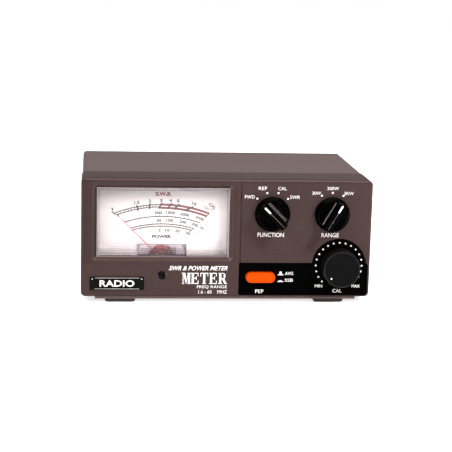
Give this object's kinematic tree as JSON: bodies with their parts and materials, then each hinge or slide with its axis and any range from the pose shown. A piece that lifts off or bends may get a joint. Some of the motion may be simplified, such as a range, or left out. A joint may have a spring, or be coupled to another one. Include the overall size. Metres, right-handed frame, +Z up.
{
  "type": "swr meter",
  "caption": "Bench SWR and power meter with a lit needle dial, two bar selector knobs, a calibration knob, a push button, and two coaxial sockets behind.",
  "frame": {"origin": "middle of the overall box, on the surface that the feet stand on", "axes": "+X to the right as seen from the front, +Y from the front panel to the rear panel, +Z up"},
  "size_m": [0.155, 0.131, 0.0666],
  "materials": {
    "case_paint": "fine speckled brown-grey paint, satin",
    "bezel_plastic": "fine-grained brown-grey moulding, satin",
    "overlay_black": "black printed overlay, half gloss",
    "badge_black": "gloss black plate",
    "foot_rubber": "matt",
    "chassis_steel": "satin paint on steel",
    "screw_steel": "bright zinc",
    "dark_screw": "blackened steel",
    "lens_clear": "polished clear plastic",
    "meter_case_white": "moulded",
    "dial_white": "matt white dial with printed scales",
    "yoke_steel": "plated",
    "magnet_red": "red-painted magnet",
    "bridge_alloy": "satin",
    "brass": "turned",
    "coil_copper": "enamelled copper wire",
    "needle_red": "matt red paint",
    "spring_bronze": "bronze strip",
    "lamp_glass": "small glass bulb",
    "black_rubber": "matt",
    "switch_body": "moulded, plated bush",
    "shaft_metal": "turned",
    "knob_black": "gloss black",
    "cal_knob_black": "satin black",
    "switch_ivory": "moulded",
    "button_orange": "satin orange",
    "board_green": "glass-fibre board with lacquer",
    "box_tin": "tinned sheet",
    "socket_nickel": "nickel plate",
    "insulator_white": "fluoropolymer",
    "gold_plate": "plated",
    "coil_ferrite": "ferrite ring with copper wire",
    "parts_orange": "dipped parts",
    "jack_black": "moulded",
    "cable_grey": "sheath",
    "lead_red": "sleeve",
    "lead_yellow": "sleeve"
  },
  "bodies": {
    "case": {"chassis": "chassis_steel", "rear_panel": "chassis_steel", "top_cover": "case_paint", "cover_screws": "dark_screw", "front_bezel": "bezel_plastic", "bezel_screws": "screw_steel", "control_overlay": "overlay_black", "badge_plate": "badge_black", "feet": "foot_rubber", "foot_screws": "screw_steel", "meter_lens": "lens_clear", "meter_case": "meter_case_white", "meter_screws": "screw_steel", "dial_plate": "dial_white", "meter_yoke": "yoke_steel", "core_magnet": "magnet_red", "movement_bridges": "bridge_alloy", "jewel_screws": "brass", "dial_lamps": "lamp_glass", "lamp_holders": "black_rubber", "meter_terminals": "brass", "function_switch": "switch_body", "function_nut": "screw_steel", "range_switch": "switch_body", "range_nut": "screw_steel", "cal_pot": "switch_body", "cal_nut": "screw_steel", "mode_switch": "switch_ivory", "mode_spring": "screw_steel", "control_board": "board_green", "board_screws": "screw_steel", "coupler_box": "box_tin", "coupler_lid": "box_tin", "coupler_screws": "dark_screw", "tx_socket": "socket_nickel", "antenna_socket": "socket_nickel", "socket_insulators": "insulator_white", "centre_contacts": "gold_plate", "socket_screws": "screw_steel", "line_rod": "gold_plate", "sense_coil": "coil_ferrite", "sensor_board": "board_green", "sensor_parts": "parts_orange", "dc_jack": "jack_black", "jack_nut": "screw_steel", "sensor_cable": "cable_grey", "meter_leads": "lead_red", "lamp_leads": "lead_yellow"},
    "needle": {"moving_coil": "coil_copper", "needle": "needle_red", "hairsprings": "spring_bronze"},
    "zero_arm": {"zero_arm": "bridge_alloy"},
    "zero_screw": {"zero_screw": "jack_black"},
    "function_selector": {"function_shaft": "shaft_metal", "function_knob": "knob_black"},
    "range_selector": {"range_shaft": "shaft_metal", "range_knob": "knob_black"},
    "calibration_control": {"cal_shaft": "shaft_metal", "cal_knob": "cal_knob_black"},
    "mode_button": {"mode_button": "button_orange", "mode_plunger": "switch_ivory"}
  },
  "joints": [
    {"name": "needle_swing", "type": "hinge", "parent": "case", "child": "needle", "pos_m": [-0.0345, -0.047, 0.0223], "axis": [0, 1, 0], "range_deg": [0, 90], "stiffness_Nm_per_rad": 0.00002},
    {"name": "zero_turn", "type": "hinge", "parent": "case", "child": "zero_screw", "pos_m": [-0.0345, -0.051, 0.0148], "axis": [0, 1, 0], "range_deg": [-45, 45]},
    {"name": "zero_arm_tilt", "type": "hinge", "parent": "case", "child": "zero_arm", "pos_m": [-0.0345, -0.0478, 0.0223], "axis": [0, 1, 0], "range_deg": [-10, 10]},
    {"name": "function_turn", "type": "hinge", "parent": "case", "child": "function_selector", "pos_m": [0.0236, -0.054, 0.0485], "axis": [0, 1, 0], "range_deg": [0, 90]},
    {"name": "range_turn", "type": "hinge", "parent": "case", "child": "range_selector", "pos_m": [0.0557, -0.054, 0.0485], "axis": [0, 1, 0], "range_deg": [-60, 0]},
    {"name": "cal_turn", "type": "hinge", "parent": "case", "child": "calibration_control", "pos_m": [0.0605, -0.054, 0.0205], "axis": [0, 1, 0], "range_deg": [0, 270]},
    {"name": "mode_press", "type": "slide", "parent": "case", "child": "mode_button", "axis": [0, 1, 0], "range_m": [0, 0.003], "stiffness_N_per_m": 300, "springref_m": -0.002}
  ],
  "couplings": [
    {"joint": "zero_arm_tilt", "follows": "zero_turn", "ratio": -0.1905}
  ]
}
